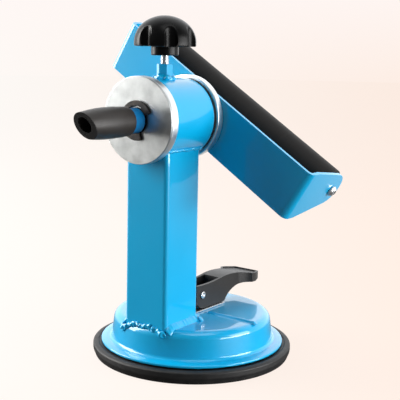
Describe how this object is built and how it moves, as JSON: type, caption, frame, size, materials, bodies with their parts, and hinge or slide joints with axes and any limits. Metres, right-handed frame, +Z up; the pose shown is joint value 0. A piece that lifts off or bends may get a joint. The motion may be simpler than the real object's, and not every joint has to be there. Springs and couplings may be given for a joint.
{
  "type": "suction-base roller stand",
  "caption": "Bench stand on a lever-locked suction foot: square column, clamped swivel head and a bent sheet bracket carrying a long rubber roller.",
  "frame": {"origin": "centre of the suction pad's flat underside, on the surface it sticks to", "axes": "+Z up along the column, -Y towards the end of the hand grip, +X towards the lower end of the roller arm"},
  "size_m": [0.1456, 0.1576, 0.201],
  "materials": {
    "blue_enamel": "glossy cyan-blue enamel",
    "zinc_plate": "bright zinc plating with faint mottling",
    "bright_steel": "bright turned steel",
    "black_plastic": "semi-gloss black moulding",
    "black_nylon": "matte black nylon",
    "clip_black": "black oxide spring steel",
    "grip_rubber": "satin black rubber",
    "roller_rubber": "matte black rubber sleeve",
    "pad_rubber": "matte black moulded rubber",
    "pad_brass": "turned brass"
  },
  "bodies": {
    "root": {"suction_pad": "pad_rubber", "suction_cap": "blue_enamel", "cam_plate": "bright_steel", "return_spring": "bright_steel", "column_tube": "blue_enamel", "head_tube": "blue_enamel", "clamp_boss": "blue_enamel", "bush_front": "black_nylon", "bush_rear": "black_nylon"},
    "lifter": {"pull_stud": "bright_steel", "lift_plate": "bright_steel", "lever_pin": "bright_steel"},
    "lever": {"cam_lever": "black_plastic"},
    "arm": {"axle": "blue_enamel", "front_washer": "zinc_plate", "front_disc": "zinc_plate", "rear_disc": "zinc_plate", "retaining_clip": "clip_black", "hand_grip": "grip_rubber", "roller_bracket": "blue_enamel", "roller_rod": "bright_steel", "end_screw_left": "zinc_plate", "end_screw_right": "zinc_plate"},
    "roller": {"roller_sleeve": "roller_rubber", "roller_core": "bright_steel", "roller_plug_left": "black_nylon", "roller_plug_right": "black_nylon"},
    "clamp_slide": {"clamp_pad": "pad_brass"},
    "clamp_screw": {"clamp_stud": "zinc_plate", "clamp_knob": "black_plastic"}
  },
  "joints": [
    {"name": "arm_swivel", "type": "hinge", "parent": "root", "child": "arm", "pos_m": [0, -0.03, 0.144], "axis": [0, -1, 0], "continuous": true},
    {"name": "roller_spin", "type": "hinge", "parent": "arm", "child": "roller", "pos_m": [0.00299, 0.0309, 0.14879], "axis": [0.848, 0, -0.5299], "continuous": true},
    {"name": "pad_lift", "type": "slide", "parent": "root", "child": "lifter", "axis": [0, 0, 1], "range_m": [-0.00301, 0], "deforming": ["return_spring"]},
    {"name": "lever_flip", "type": "hinge", "parent": "lifter", "child": "lever", "pos_m": [0, 0, 0.036], "axis": [1, 0, 0], "range_deg": [0, 85]},
    {"name": "clamp_feed", "type": "slide", "parent": "root", "child": "clamp_slide", "axis": [0, 0, 1], "range_m": [0, 0.00161]},
    {"name": "clamp_turn", "type": "hinge", "parent": "clamp_slide", "child": "clamp_screw", "pos_m": [0, -0.03, 0.184], "axis": [0, 0, 1], "range_deg": [0, 720]}
  ],
  "couplings": [
    {"joint": "pad_lift", "follows": "lever_flip", "m_per_rad": -0.0020222},
    {"joint": "clamp_feed", "follows": "clamp_turn", "m_per_rad": 0.00012732}
  ]
}
